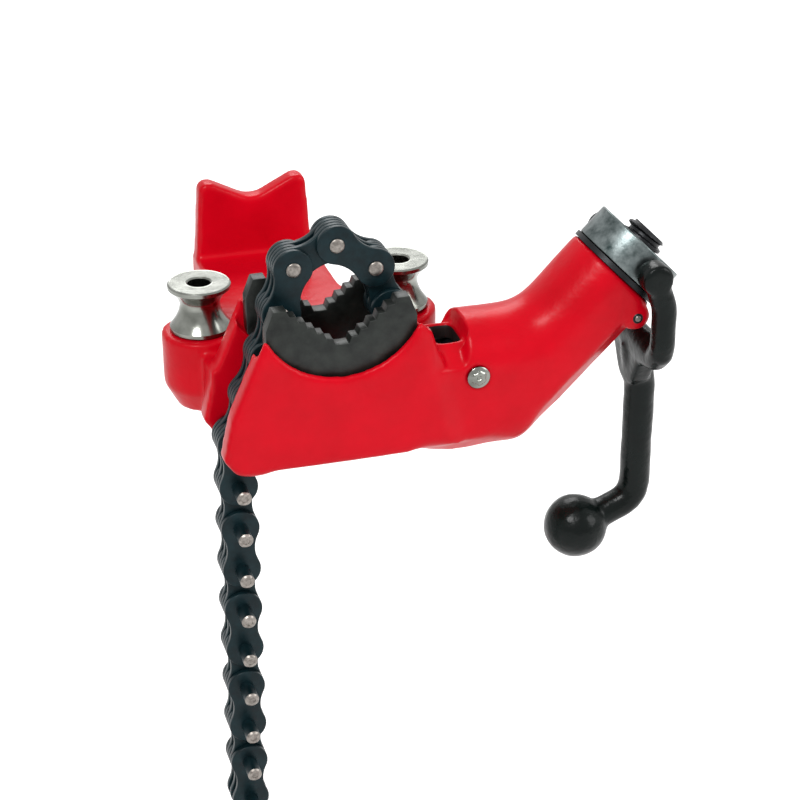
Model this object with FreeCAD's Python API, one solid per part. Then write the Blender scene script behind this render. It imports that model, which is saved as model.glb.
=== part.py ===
import FreeCAD, Part
import math
import os

# Chain pipe vise: a cast body with two toothed jaws, a leaf chain that is hooked
# between two horns on one side and drawn by a screw on the other side.
# Frame: +Z up, z = 0 is the face that rests on the bench, y = 0 is the plane of the
# chain, +Y runs from the jaws to the rear rest, +X runs from the jaws to the screw.

# How a bent bar is drawn: chords in each bend, joined by mitres
BEND_CHORDS = 3
MITRED = 1

# Overrun and running clearances
OVERRUN = 1.0
RUN_GAP = 0.06
SEAT_GAP = 0.15
FACE_GAP = 0.2

# Round space that the chain is closed on
HOLD_RADIUS = 14.6
HOLD_Z = 88.4

# Leaf chain
PITCH = 25.4
PLATE_HALF = 10.5
PLATE_WAIST_HALF = 7.6
PLATE_THICK = 3.2
PLATE_GAP = 0.2
PIN_RADIUS = 4.0
PIN_HEAD = 1.6
HOOK_PIN_HALF = 21.5
PIN_SIDES = 8
LOBE_SIDES = 6
WAIST_SIDES = 3
ANCHOR_SLACK = 2.2
NOTCH_GAP = 0.3
WRAP_TOP_ANGLE = 84.3
SLOT_HEADINGS = (254.7, 253.6, 249.0, 248.0)
THROAT_HEADINGS = (-71.0, -75.0, -58.0, -30.0)
TAIL_LINKS = 9

# Walls either side of the chain
WALL_INNER = 18.0
WALL_OUTER = 31.0
WALL_FOOT_X = -58.0
WALL_HEEL_X = -65.0
WALL_HEEL_Z = 9.0
WALL_WAIST_X = -60.0
WALL_WAIST_Z = 32.0
WALL_TOP_X = 41.0
WALL_TOP_Z = 76.0
WALL_CORNER = 3.0
WALL_BOW = 40.0
WALL_END_X = 70.0
WALL_FACET = 13.0

# Toothed jaws
JAW_CENTRE_Z = 94.4
LIP_RADIUS = 45.0
SEAT_RADIUS = 54.0
LIP_THICK = 4.6
JAW_TOP_Z = 88.5
JAW_TOP_X = 36.0
JAW_EDGE_X = 40.0
JAW_EDGE_Z = 78.0
JAW_LAND = 7.0
JAW_APEX_Z = 66.0
JAW_TEETH = 6
TOOTH_DEPTH = 2.6
TOOTH_FACE_SHARE = 0.25
JAW_SCREW_RADIUS = 2.5
JAW_SCREW_TIP = 1.0
JAW_SCREW_ANGLE = 35.0

# Saddle under the jaws and the bridge beside them
SADDLE_LEFT = -26.0
SADDLE_RIGHT = 14.0
SADDLE_TOP = 42.0
BRIDGE_LEFT = 49.7
BRIDGE_RIGHT = 54.5
BRIDGE_TOP = 60.0

# Body between the jaws and the arm
BODY_TOP = 63.5
BODY_HALF = 26.0
BODY_ROUND = 23.5
BODY_LAP = 16.0
BELLY_DROP = 12.0
BELLY_ROUND = 30.0
CHAMBER_HALF = 13.0
CHAMBER_LEFT = 22.0
CHAMBER_TOP = 50.0
CHAMBER_ROUND = 6.0
HATCH_RIGHT = 66.0
HATCH_HALF = 10.0
HATCH_ROUND = 3.5

# Hollow arm and its screw
ARM_ANGLE = 45.0
NUT_X = 167.5
NUT_Z = 86.3
ARM_TOP = 27.0
ARM_LOW = 24.0
ARM_LENGTH = 105.0
ARM_BORE_LENGTH = 81.0
THROAT_HALF = 11.2
ARM_CHAMFER = 13.0
THROAT_ALONG = 66.0
ARM_BORE = 14.0
BUSH_RADIUS = 18.0
BUSH_LENGTH = 20.0
SCREW_RADIUS = 12.0
SCREW_PROUD = 7.0
NUT_RADIUS = 27.2
NUT_THICK = 18.3
NUT_CHAMFER = 0.8
WASHER_THICK = 2.8
WASHER_RADIUS = 28.3
TONGUE_HALF = 8.5
SHANK_NECK = 14.0

# Guide roller that turns the chain towards the arm
ROLLER_X = 74.0
ROLLER_Z = 37.0
ROLLER_RADIUS = 9.0
ROLLER_END_GAP = 0.4
GUIDE_PIN_RADIUS = 5.0
GUIDE_HEAD_RADIUS = 6.3
GUIDE_HEAD_THICK = 2.2

# Handle
STUD_RADIUS = 4.5
STUD_REACH = 9.0
TINE_GAP = 2.2
TINE_RADIUS = 6.4
EYE_RADIUS = 8.2
TINE_X = 174.0
TINE_SHOULDER = 18.0
TINE_ROUND = 14.0
PALM_BAR_Z = 33.4
PALM_THICK = 11.0
PALM_HALF = 21.0
PALM_FOOT_Z = 10.0
SHANK_X = 178.0
SHANK_RADIUS = 8.2
ELBOW_Z = -65.0
ELBOW_ROUND = 14.0
BALL_X = 143.0
BALL_Z = -79.0
BALL_RADIUS = 17.6

# Deck, bending spools and pipe rest
DECK_TOP = 38.0
DECK_HALF_FRONT = 60.0
DECK_FRONT_END = 78.0
DECK_HALF_REAR = 36.0
DECK_TAPER_END = 112.0
DECK_ROUND = 12.0
REST_NEAR = 170.0
REST_FAR = 182.0
REST_HALF_LOW = 38.0
REST_HALF_TOP = 29.5
REST_TOP = 84.5
REST_APEX_Z = 72.0
REST_ROUND = 5.0
BOSS_X = 56.0
BOSS_Y = 62.0
BOSS_RADIUS = 21.5
BOSS_TOP = 44.0
BOSS_UNDER = 14.0
BOSS_ROOT_RADIUS = 14.0
SPOOL_HEIGHT = 27.3
SPOOL_TOP_RADIUS = 17.2
SPOOL_FOOT_RADIUS = 16.8
SPOOL_WAIST_RADIUS = 10.3
SPOOL_WAIST_Z = 16.5
SPOOL_RIM = 2.6
SPOOL_STEPS = 8
SPOOL_BORE = 6.3
BOLT_RADIUS = 4.0
BOLT_HEAD_RADIUS = 6.0
BOLT_HEAD_HIGH = 8.0
BOLT_DEEP = 22.0
SPOOL_SHOULDER = 8.0

# Bench fixing
TAB_END = 206.0
TAB_HALF = 33.0
TAB_TOP = 12.0
TAB_ROUND = 9.0
FIX_HALF_X = 22.0
FIX_NEAR_Y = 58.0
FIX_FAR_Y = 194.0
FIX_RADIUS = 5.5
FIX_HEAD_RADIUS = 10.0
FIX_FLOOR = 12.0
CAVITY_HALF = 28.0
CAVITY_NEAR = 82.0
CAVITY_FAR = 164.0
CAVITY_TOP = 31.0
CAVITY_ROUND = 8.0


def vec(x, y, z):
    return FreeCAD.Vector(x, y, z)


ALONG = vec(math.cos(math.radians(ARM_ANGLE)), 0, math.sin(math.radians(ARM_ANGLE)))
ACROSS = vec(ALONG.z, 0, -ALONG.x)
SIDE = vec(0, 1, 0)
UP = vec(0, 0, 1)
NUT = vec(NUT_X, 0, NUT_Z)
ARM_END = -(NUT_THICK / 2 + FACE_GAP + WASHER_THICK)
STACK_HALF = 2 * (PLATE_THICK + PLATE_GAP) + PLATE_THICK / 2


def on_arm(along, across, y):
    return NUT + ALONG * along + ACROSS * across + SIDE * y


def unit(a, b):
    step = b - a
    return step * (1 / step.Length)


def rounded_wire(corners):
    """A closed wire through (point, radius) corners, each radius as a tangent arc."""
    edges = []
    last = None
    first = None
    count = len(corners)
    for i in range(count):
        here, radius = corners[i]
        back = unit(here, corners[i - 1][0])
        ahead = unit(here, corners[(i + 1) % count][0])
        if radius > 0:
            half = back.getAngle(ahead) / 2
            reach = radius / math.tan(half)
            start = here + back * reach
            end = here + ahead * reach
            bisector = back + ahead
            bisector = bisector * (1 / bisector.Length)
            middle = here + bisector * (radius / math.sin(half) - radius)
        else:
            start = here
            end = here
        if last is not None:
            edges.append(Part.LineSegment(last, start).toShape())
        else:
            first = start
        if radius > 0:
            edges.append(Part.Arc(start, middle, end).toShape())
        last = end
    edges.append(Part.LineSegment(last, first).toShape())
    return Part.Wire(edges)


def prism(corners, direction):
    """A solid from a rounded outline, pushed along a vector."""
    return Part.Face(rounded_wire(corners)).extrude(direction)


def side_plate(outline, y_low, y_high):
    """A plate whose outline of (x, z, radius) lies in the plane of the chain."""
    corners = [(vec(x, y_low, z), radius) for x, z, radius in outline]
    return prism(corners, vec(0, y_high - y_low, 0))


def flat_plate(outline, z_low, z_high):
    """A plate whose outline of (x, y, radius) lies flat."""
    corners = [(vec(x, y, z_low), radius) for x, y, radius in outline]
    return prism(corners, vec(0, 0, z_high - z_low))


def rod(radius, start, end):
    """A round bar between two points."""
    return Part.makeCylinder(radius, (end - start).Length, start, end - start)


def open_path(corners):
    """A wire through (point, radius) corners, each arc drawn with a few straight chords."""
    points = []
    for edge in rounded_wire(corners).Edges[:-1]:
        count = 2 if edge.Curve.TypeId == "Part::GeomLine" else BEND_CHORDS + 1
        points += edge.discretize(count)[:-1]
    return Part.makePolygon(points + [corners[-1][0]])


def bar(radius, corners):
    """A round bar bent along a path."""
    start = corners[0][0]
    ahead = unit(start, corners[1][0])
    profile = Part.Wire(Part.makeCircle(radius, start, ahead))
    return open_path(corners).makePipeShell([profile], True, False, MITRED)


def cross_rod(radius, x, z, y_low, y_high):
    return rod(radius, vec(x, y_low, z), vec(x, y_high, z))


def post(radius, x, y, z_low, z_high):
    return rod(radius, vec(x, y, z_low), vec(x, y, z_high))


def step_on(point, heading):
    """The next pin of the chain, one pitch on at a heading in degrees."""
    turn = math.radians(heading)
    return point + vec(PITCH * math.cos(turn), 0, PITCH * math.sin(turn))


def wrap_pin(angle):
    """A pin on the round of the chain over the jaws."""
    reach = HOLD_RADIUS + PLATE_HALF
    turn = math.radians(angle)
    return vec(reach * math.cos(turn), 0, HOLD_Z + reach * math.sin(turn))


def chain_pins():
    """Pins of the held chain, from under the roller to the horns' lower end."""
    step = 2 * math.degrees(math.asin(PITCH / 2 / (HOLD_RADIUS + PLATE_HALF)))
    pins = [wrap_pin(WRAP_TOP_ANGLE + n * step) for n in (-1, 0, 1)]
    for heading in SLOT_HEADINGS:
        pins.append(step_on(pins[-1], heading))
    for heading in THROAT_HEADINGS:
        pins.insert(0, step_on(pins[0], heading))
    return pins


def tail_pins(hook):
    return [hook - UP * (PITCH * n) for n in range(TAIL_LINKS + 1)]


def anchor_pins(bend):
    """The two pins on the screw's axis that draw the chain on from the roller."""
    offset = (NUT - bend).dot(ACROSS)
    along = (bend - NUT).dot(ALONG) + math.sqrt(PITCH ** 2 - offset ** 2)
    return [on_arm(along, 0, 0), on_arm(along + PITCH, 0, 0)]


def waist_arc():
    """Radius, height and half angle of the arc that joins both lobes of a plate."""
    reach = PLATE_HALF - PLATE_WAIST_HALF
    radius = (PITCH ** 2 / 4 + PLATE_WAIST_HALF ** 2 - PLATE_HALF ** 2) / (2 * reach)
    height = radius + PLATE_WAIST_HALF
    return radius, height, math.atan2(PITCH / 2, height)


def plate_outline(a, b, y):
    """The figure-of-eight outline of one chain plate, in straight facets."""
    ahead = unit(a, b)
    square = vec(-ahead.z, 0, ahead.x)
    middle = (a + b) * (1 / 2)
    radius, height, half = waist_arc()
    points = []
    for centre, way in ((b, 1), (a, -1)):
        for n in range(LOBE_SIDES + 1):
            turn = (2 * n / LOBE_SIDES - 1) * (math.pi / 2 + half)
            out = (ahead * math.cos(turn) + square * math.sin(turn)) * way
            points.append(centre + out * PLATE_HALF + SIDE * y)
        for n in range(1, WAIST_SIDES):
            turn = (1 - 2 * n / WAIST_SIDES) * half
            out = (ahead * math.sin(turn) - square * math.cos(turn)) * way
            points.append(middle + square * (way * height) + out * radius + SIDE * y)
    return points


def ring_points(centre, radius, sides):
    turns = [2 * math.pi * n / sides for n in range(sides)]
    return [centre + vec(radius * math.cos(t), 0, radius * math.sin(t)) for t in turns]


def many_sided(points, depth):
    return Part.Face(Part.makePolygon(points + [points[0]])).extrude(SIDE * depth)


def facet_pin(pin, half):
    """A riveted pin, drawn with flats."""
    return many_sided(ring_points(pin - SIDE * half, PIN_RADIUS, PIN_SIDES), 2 * half)


def hook_pin(pin):
    """A long pin: flats inside the stack and round ends that are hooked on the horns."""
    core = facet_pin(pin, STACK_HALF)
    ends = []
    for side in (-1, 1):
        start = pin + SIDE * (side * STACK_HALF)
        ends.append(rod(PIN_RADIUS, start, pin + SIDE * (side * HOOK_PIN_HALF)))
    return core.multiFuse(ends)


def chain_plates(a, b, layers):
    """Plates of one link; layers count from the middle of the stack."""
    plates = []
    for layer in layers:
        y = layer * (PLATE_THICK + PLATE_GAP) - PLATE_THICK / 2
        plates.append(many_sided(plate_outline(a, b, y), PLATE_THICK))
    return plates


def pin_link(a, b, hooking):
    """Three plates riveted on their two pins."""
    plates = chain_plates(a, b, (-2, 0, 2))
    if hooking:
        pins = [hook_pin(a), hook_pin(b)]
    else:
        pins = [facet_pin(a, STACK_HALF + PIN_HEAD), facet_pin(b, STACK_HALF + PIN_HEAD)]
    return pins[0].multiFuse(plates + pins[1:]).removeSplitter()


def inner_link(a, b, slack_a):
    """Two plates with running holes; slack_a widens the hole at the first pin."""
    snug = (PIN_RADIUS + RUN_GAP) / math.cos(math.pi / PIN_SIDES)
    holes = []
    for pin, slack in ((a, slack_a), (b, 0)):
        start = pin - SIDE * STACK_HALF
        ring = ring_points(start, snug + slack, PIN_SIDES)
        holes.append(many_sided(ring, 2 * STACK_HALF))
    plates = [plate.cut(holes) for plate in chain_plates(a, b, (-1, 1))]
    return Part.makeCompound(plates)


def wall_facet():
    """What is taken off the wall's outer face along its slanting right end."""
    outline = [
        (WALL_END_X - WALL_FACET, WALL_OUTER),
        (WALL_END_X, BODY_HALF),
        (WALL_END_X + OVERRUN, WALL_OUTER + OVERRUN),
        (WALL_END_X - WALL_FACET, WALL_OUTER + OVERRUN),
    ]
    slope = vec(BRIDGE_RIGHT - WALL_END_X, 0, BRIDGE_TOP)
    corners = [(vec(x, y, 0) - slope * (1 / 4), 0) for x, y in outline]
    return prism(corners, slope * (3 / 2))


def hook_notch():
    """The seats under both horns where one of the long chain pins is hooked."""
    hook = chain_pins()[-1]
    radius = PIN_RADIUS + NOTCH_GAP
    depth = HOOK_PIN_HALF + NOTCH_GAP
    seat = cross_rod(radius, hook.x, hook.z, -depth, depth)
    corner = vec(hook.x - radius, -depth, hook.z - PITCH)
    mouth = Part.makeBox(2 * radius, 2 * depth, PITCH, corner)
    return seat.fuse(mouth)


def horn_wall(side):
    """One of the two walls whose left edge is a horn for the chain."""
    outline = [
        (WALL_FOOT_X, 0, WALL_CORNER),
        (WALL_HEEL_X, WALL_HEEL_Z, WALL_CORNER),
        (WALL_WAIST_X, WALL_WAIST_Z, WALL_BOW),
        (-WALL_TOP_X, WALL_TOP_Z, WALL_CORNER),
        (WALL_TOP_X, WALL_TOP_Z, WALL_CORNER),
        (BRIDGE_RIGHT, BRIDGE_TOP, 0),
        (WALL_END_X, 0, 0),
    ]
    wall = side_plate(outline, WALL_INNER, WALL_OUTER)
    lip_cut = cross_rod(LIP_RADIUS, 0, JAW_CENTRE_Z, 0, WALL_OUTER + OVERRUN)
    wall = wall.cut([lip_cut, wall_facet()])
    return wall if side > 0 else wall.mirror(vec(0, 0, 0), SIDE)


def jaw_pocket(side):
    """The round seat that is milled for a jaw, from the chain's side of its wall to the lip."""
    seat = cross_rod(SEAT_RADIUS, 0, JAW_CENTRE_Z, WALL_INNER, WALL_OUTER - LIP_THICK)
    return seat if side > 0 else seat.mirror(vec(0, 0, 0), SIDE)


def saddle():
    """The web that joins both walls under the jaws."""
    web = [
        (SADDLE_LEFT, 0, 0),
        (SADDLE_RIGHT, 0, 0),
        (SADDLE_RIGHT, SADDLE_TOP, WALL_CORNER),
        (SADDLE_LEFT, SADDLE_TOP, WALL_CORNER),
    ]
    return side_plate(web, -WALL_INNER, WALL_INNER)


def past_bend():
    """A block that fills all that lies past the plane where the body meets the arm."""
    top = vec(arm_bend_x() + BODY_LAP, 0, BODY_TOP)
    foot = vec(belly_foot_x(), 0, -BELLY_DROP)
    ahead = unit(foot, top)
    low = foot - ahead * ARM_LENGTH
    high = top + ahead * ARM_LENGTH
    push = vec(2 * ARM_LENGTH, 0, 0)
    corners = [low, high, high + push, low + push]
    shifted = [(corner - SIDE * WALL_OUTER, 0) for corner in corners]
    return prism(shifted, SIDE * (2 * WALL_OUTER))


def arm_bend_x():
    """Where the arm's upper line meets the top of the body."""
    along = (BODY_TOP - NUT_Z + ACROSS.z * ARM_TOP) / ALONG.z
    return on_arm(along, -ARM_TOP, 0).x


def belly_foot_x():
    """Where the arm's lower line meets the level of the belly."""
    along = (-BELLY_DROP - NUT_Z - ACROSS.z * ARM_LOW) / ALONG.z
    return on_arm(along, ARM_LOW, 0).x


def body_block():
    """The level body between the jaws and the arm, with its belly below the bench's level."""
    section = [
        (-BODY_HALF, ARM_CHAMFER - BELLY_DROP, 0),
        (ARM_CHAMFER - BODY_HALF, -BELLY_DROP, 0),
        (BODY_HALF - ARM_CHAMFER, -BELLY_DROP, 0),
        (BODY_HALF, ARM_CHAMFER - BELLY_DROP, 0),
        (BODY_HALF, BODY_TOP, BODY_ROUND),
        (-BODY_HALF, BODY_TOP, BODY_ROUND),
    ]
    corners = [(vec(BRIDGE_LEFT, y, z), radius) for y, z, radius in section]
    block = prism(corners, vec(ARM_LENGTH, 0, 0))
    return block.cut(past_bend())


def belly_limit():
    """A plate that keeps the rounded heel where the belly turns up into the arm."""
    outline = [
        (BRIDGE_LEFT - OVERRUN, -BELLY_DROP - RUN_GAP, 0),
        (belly_foot_x(), -BELLY_DROP - RUN_GAP, BELLY_ROUND),
        (on_arm(BELLY_ROUND, ARM_LOW + RUN_GAP, 0).x, on_arm(BELLY_ROUND, ARM_LOW + RUN_GAP, 0).z, 0),
        (NUT_X, NUT_Z + NUT_RADIUS, 0),
        (BRIDGE_LEFT - OVERRUN, NUT_Z + NUT_RADIUS, 0),
    ]
    return side_plate(outline, -WALL_OUTER, WALL_OUTER)


def arm_block():
    """The hollow arm: round above, flat in front and chamfered below."""
    section = [
        (-BODY_HALF, ARM_LOW - ARM_CHAMFER, 0),
        (ARM_CHAMFER - BODY_HALF, ARM_LOW, 0),
        (BODY_HALF - ARM_CHAMFER, ARM_LOW, 0),
        (BODY_HALF, ARM_LOW - ARM_CHAMFER, 0),
        (BODY_HALF, -ARM_TOP, BODY_ROUND),
        (-BODY_HALF, -ARM_TOP, BODY_ROUND),
    ]
    corners = [(on_arm(ARM_END, across, y), radius) for y, across, radius in section]
    arm = prism(corners, ALONG * -ARM_LENGTH)
    corner = vec(0, -WALL_OUTER, -BELLY_DROP - ARM_LENGTH)
    below = Part.makeBox(2 * NUT_X, 2 * WALL_OUTER, ARM_LENGTH, corner)
    return arm.cut(below)


def deck_block():
    """The level deck behind the jaws, drawn in towards the rear."""
    outline = [
        (-DECK_HALF_FRONT, WALL_INNER, 0),
        (-DECK_HALF_FRONT, DECK_FRONT_END, DECK_ROUND),
        (-DECK_HALF_REAR, DECK_TAPER_END, DECK_ROUND),
        (-DECK_HALF_REAR, REST_FAR, 0),
        (DECK_HALF_REAR, REST_FAR, 0),
        (DECK_HALF_REAR, DECK_TAPER_END, DECK_ROUND),
        (DECK_HALF_FRONT, DECK_FRONT_END, DECK_ROUND),
        (DECK_HALF_FRONT, WALL_INNER, 0),
    ]
    return flat_plate(outline, 0, DECK_TOP)


def spool_boss(side):
    """A round boss that leans out of the deck under a bending spool."""
    x = side * BOSS_X
    under = Part.makeCone(BOSS_ROOT_RADIUS, BOSS_RADIUS, BOSS_UNDER, vec(x, BOSS_Y, 0), UP)
    return [under, post(BOSS_RADIUS, x, BOSS_Y, BOSS_UNDER, BOSS_TOP)]


def rear_rest():
    """The upright plate behind the jaws, with a rounded V in its top."""
    outline = [
        (-REST_HALF_LOW, 0, 0),
        (-REST_HALF_TOP - REST_ROUND / 2, REST_TOP, REST_ROUND),
        (REST_ROUND - REST_HALF_TOP, REST_TOP, REST_ROUND),
        (0, REST_APEX_Z, HOLD_RADIUS),
        (REST_HALF_TOP - REST_ROUND, REST_TOP, REST_ROUND),
        (REST_HALF_TOP + REST_ROUND / 2, REST_TOP, REST_ROUND),
        (REST_HALF_LOW, 0, 0),
    ]
    return side_plate(outline, REST_NEAR, REST_FAR)


def rear_tab():
    """The low tab behind the rear rest, for two of the bench bolts."""
    outline = [
        (-TAB_HALF, REST_NEAR, 0),
        (-TAB_HALF, TAB_END, TAB_ROUND),
        (TAB_HALF, TAB_END, TAB_ROUND),
        (TAB_HALF, REST_NEAR, 0),
    ]
    return flat_plate(outline, 0, TAB_TOP)


def chamber():
    """The cored space in the body where the chain turns from the jaws to the arm."""
    low = on_arm(-THROAT_ALONG, THROAT_HALF, 0)
    high = on_arm(-THROAT_ALONG, -THROAT_HALF, 0)
    foot = -BELLY_DROP - OVERRUN
    outline = [
        (CHAMBER_LEFT, foot, 0),
        (belly_foot_x() - ARM_CHAMFER, foot, 0),
        (low.x, low.z, 0),
        (high.x, high.z, 0),
        (ROLLER_X + ROLLER_RADIUS, CHAMBER_TOP, CHAMBER_ROUND),
        (CHAMBER_LEFT, CHAMBER_TOP, 0),
    ]
    return side_plate(outline, -CHAMBER_HALF, CHAMBER_HALF)


def hatch():
    """The opening beside the bridge, seen from above."""
    outline = [
        (BRIDGE_RIGHT, -HATCH_HALF, HATCH_ROUND),
        (HATCH_RIGHT, -HATCH_HALF, HATCH_ROUND),
        (HATCH_RIGHT, HATCH_HALF, HATCH_ROUND),
        (BRIDGE_RIGHT, HATCH_HALF, HATCH_ROUND),
    ]
    return flat_plate(outline, ROLLER_Z, BODY_TOP + OVERRUN)


def fixing_cuts():
    """Holes for the bench bolts, with a well for each near bolt's head."""
    cuts = []
    for x in (-FIX_HALF_X, FIX_HALF_X):
        for y in (FIX_NEAR_Y, FIX_FAR_Y):
            cuts.append(post(FIX_RADIUS, x, y, -OVERRUN, DECK_TOP + OVERRUN))
        cuts.append(post(FIX_HEAD_RADIUS, x, FIX_NEAR_Y, FIX_FLOOR, DECK_TOP + OVERRUN))
    return cuts


def deck_cavity():
    """The space under the deck that lightens the casting."""
    outline = [
        (-CAVITY_HALF, CAVITY_NEAR, CAVITY_ROUND),
        (CAVITY_HALF, CAVITY_NEAR, CAVITY_ROUND),
        (CAVITY_HALF, CAVITY_FAR, CAVITY_ROUND),
        (-CAVITY_HALF, CAVITY_FAR, CAVITY_ROUND),
    ]
    return flat_plate(outline, -OVERRUN, CAVITY_TOP)


def jaw_screw_places():
    """Where the set screws stand, as (x, z) on the middle of the jaw's rim."""
    reach = (LIP_RADIUS + SEAT_RADIUS) / 2
    turn = math.radians(JAW_SCREW_ANGLE)
    x = reach * math.sin(turn)
    z = JAW_CENTRE_Z - reach * math.cos(turn)
    return [(-x, z), (x, z)]


def jaw_screw(x, z, side, extra):
    """One set screw from the chain's side into the lip."""
    start = vec(x, side * (WALL_INNER + FACE_GAP), z)
    end = vec(x, side * (WALL_OUTER - JAW_SCREW_TIP), z)
    return rod(JAW_SCREW_RADIUS + extra, start, end)


def base_casting():
    head = body_block().fuse(arm_block()).common(belly_limit())
    parts = [head, horn_wall(1), horn_wall(-1), deck_block(), rear_rest(), rear_tab(), saddle()]
    parts += spool_boss(1) + spool_boss(-1)
    casting = parts[0].multiFuse(parts[1:])
    cuts = [chamber(), hatch(), deck_cavity(), hook_notch()] + fixing_cuts()
    cuts.append(rod(ARM_BORE, on_arm(ARM_END - ARM_BORE_LENGTH, 0, 0), on_arm(OVERRUN, 0, 0)))
    cuts.append(rod(BUSH_RADIUS, on_arm(ARM_END - BUSH_LENGTH, 0, 0), on_arm(OVERRUN, 0, 0)))
    cuts.append(cross_rod(GUIDE_PIN_RADIUS + RUN_GAP, ROLLER_X, ROLLER_Z, -WALL_OUTER, WALL_OUTER))
    for side in (-1, 1):
        cuts.append(jaw_pocket(side))
        cuts.append(post(BOLT_RADIUS, side * BOSS_X, BOSS_Y, BOSS_TOP - BOLT_DEEP, BOSS_TOP + OVERRUN))
        for x, z in jaw_screw_places():
            cuts.append(jaw_screw(x, z, side, RUN_GAP))
    return casting.cut(cuts).removeSplitter()


def jaw_teeth_outline():
    """Points down one flank of the V and up the other, with a tooth at each step."""
    flank_x = JAW_TOP_X - JAW_LAND
    run = flank_x / JAW_TEETH
    rise = (JAW_TOP_Z - JAW_APEX_Z) / JAW_TEETH
    points = []
    for n in range(JAW_TEETH):
        points.append((-flank_x + run * n, JAW_TOP_Z - rise * n))
        root = n + TOOTH_FACE_SHARE
        points.append((-flank_x + run * root, JAW_TOP_Z - rise * root - TOOTH_DEPTH))
    points.append((0, JAW_APEX_Z))
    return points + [(-x, z) for x, z in reversed(points[:-1])]


def jaw(side):
    """A toothed V plate, seated in the pocket of its wall."""
    y_low = WALL_INNER
    y_high = WALL_OUTER - LIP_THICK - FACE_GAP
    outer = [(-JAW_EDGE_X, 0), (-JAW_EDGE_X, JAW_EDGE_Z), (-JAW_TOP_X, JAW_TOP_Z)]
    points = outer + jaw_teeth_outline() + [(-x, z) for x, z in reversed(outer)]
    blank = many_sided([vec(x, y_low, z) for x, z in points], y_high - y_low)
    disc = cross_rod(SEAT_RADIUS - SEAT_GAP, 0, JAW_CENTRE_Z, y_low, y_high)
    plate = blank.common(disc)
    holes = [jaw_screw(x, z, 1, RUN_GAP) for x, z in jaw_screw_places()]
    plate = plate.cut(holes)
    return plate if side > 0 else plate.mirror(vec(0, 0, 0), SIDE)


def jaw_screws():
    """The four set screws that hold the jaws."""
    places = [(x, z, side) for side in (-1, 1) for x, z in jaw_screw_places()]
    return Part.makeCompound([jaw_screw(x, z, side, 0) for x, z, side in places])


def spool(side):
    """A turned bending spool: rims above and below, waisted between them."""
    x = side * BOSS_X
    base = BOSS_TOP + FACE_GAP
    top = base + SPOOL_HEIGHT
    waist_z = base + SPOOL_WAIST_Z
    low = vec(SPOOL_FOOT_RADIUS, 0, base + SPOOL_RIM)
    high = vec(SPOOL_TOP_RADIUS, 0, top - SPOOL_RIM)
    waist = vec(SPOOL_WAIST_RADIUS, 0, waist_z)
    curve = Part.Arc(low, waist, high).toShape().discretize(SPOOL_STEPS)
    shoulder = base + SPOOL_SHOULDER
    line = curve[:-1] + [
        high, vec(SPOOL_TOP_RADIUS, 0, top), vec(SPOOL_BORE, 0, top), vec(SPOOL_BORE, 0, shoulder),
        vec(BOLT_RADIUS + RUN_GAP, 0, shoulder), vec(BOLT_RADIUS + RUN_GAP, 0, base),
        vec(SPOOL_FOOT_RADIUS, 0, base), low,
    ]
    turned = Part.Face(Part.makePolygon(line)).revolve(vec(0, 0, 0), UP, 360)
    turned.translate(vec(x, BOSS_Y, 0))
    return turned


def spool_bolt(side):
    """The socket-head shoulder bolt that a bending spool turns on."""
    x = side * BOSS_X
    seat = BOSS_TOP + FACE_GAP + SPOOL_SHOULDER + FACE_GAP
    shank = post(BOLT_RADIUS, x, BOSS_Y, BOSS_TOP - BOLT_DEEP, seat)
    head = post(BOLT_HEAD_RADIUS, x, BOSS_Y, seat, seat + BOLT_HEAD_HIGH)
    socket = post(BOLT_HEAD_RADIUS / 2, x, BOSS_Y, seat + BOLT_HEAD_HIGH / 2, seat + BOLT_HEAD_HIGH)
    return shank.fuse(head).cut(socket)


def guide_pin():
    """The riveted pin through the body that carries the guide roller."""
    shank = cross_rod(GUIDE_PIN_RADIUS, ROLLER_X, ROLLER_Z, -BODY_HALF, BODY_HALF)
    face = BODY_HALF + GUIDE_HEAD_THICK
    heads = []
    for side in (-1, 1):
        heads.append(cross_rod(GUIDE_HEAD_RADIUS, ROLLER_X, ROLLER_Z, side * BODY_HALF, side * face))
    return shank.multiFuse(heads).removeSplitter()


def guide_roller():
    """The roller that turns the chain from the jaws towards the arm."""
    half = CHAMBER_HALF - ROLLER_END_GAP
    tube = cross_rod(ROLLER_RADIUS, ROLLER_X, ROLLER_Z, -half, half)
    return tube.cut(cross_rod(GUIDE_PIN_RADIUS + RUN_GAP, ROLLER_X, ROLLER_Z, -half, half))


def guide_bush():
    """The bush that keeps the screw central in the arm."""
    start = on_arm(ARM_END - BUSH_LENGTH, 0, 0)
    end = on_arm(ARM_END, 0, 0)
    return rod(BUSH_RADIUS, start, end).cut(rod(SCREW_RADIUS + RUN_GAP, start, end))


def thrust_washer():
    """The plain washer between the arm and the nut."""
    start = on_arm(ARM_END, 0, 0)
    end = on_arm(ARM_END + WASHER_THICK, 0, 0)
    return rod(WASHER_RADIUS, start, end).cut(rod(SCREW_RADIUS + SEAT_GAP, start, end))


def nut():
    """The round nut with two holes for the handle's studs."""
    start = on_arm(-NUT_THICK / 2, 0, 0)
    end = on_arm(NUT_THICK / 2, 0, 0)
    blank = rod(NUT_RADIUS, start, end)
    rims = [e for e in blank.Edges if abs(e.Length - 2 * math.pi * NUT_RADIUS) < NUT_CHAMFER]
    blank = blank.makeChamfer(NUT_CHAMFER, rims)
    holes = [rod(SCREW_RADIUS + RUN_GAP, start, end)]
    for side in (-1, 1):
        inner = side * (NUT_RADIUS - STUD_REACH - SEAT_GAP)
        holes.append(cross_rod(STUD_RADIUS + RUN_GAP, NUT_X, NUT_Z, inner, side * NUT_RADIUS))
    return blank.cut(holes)


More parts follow.
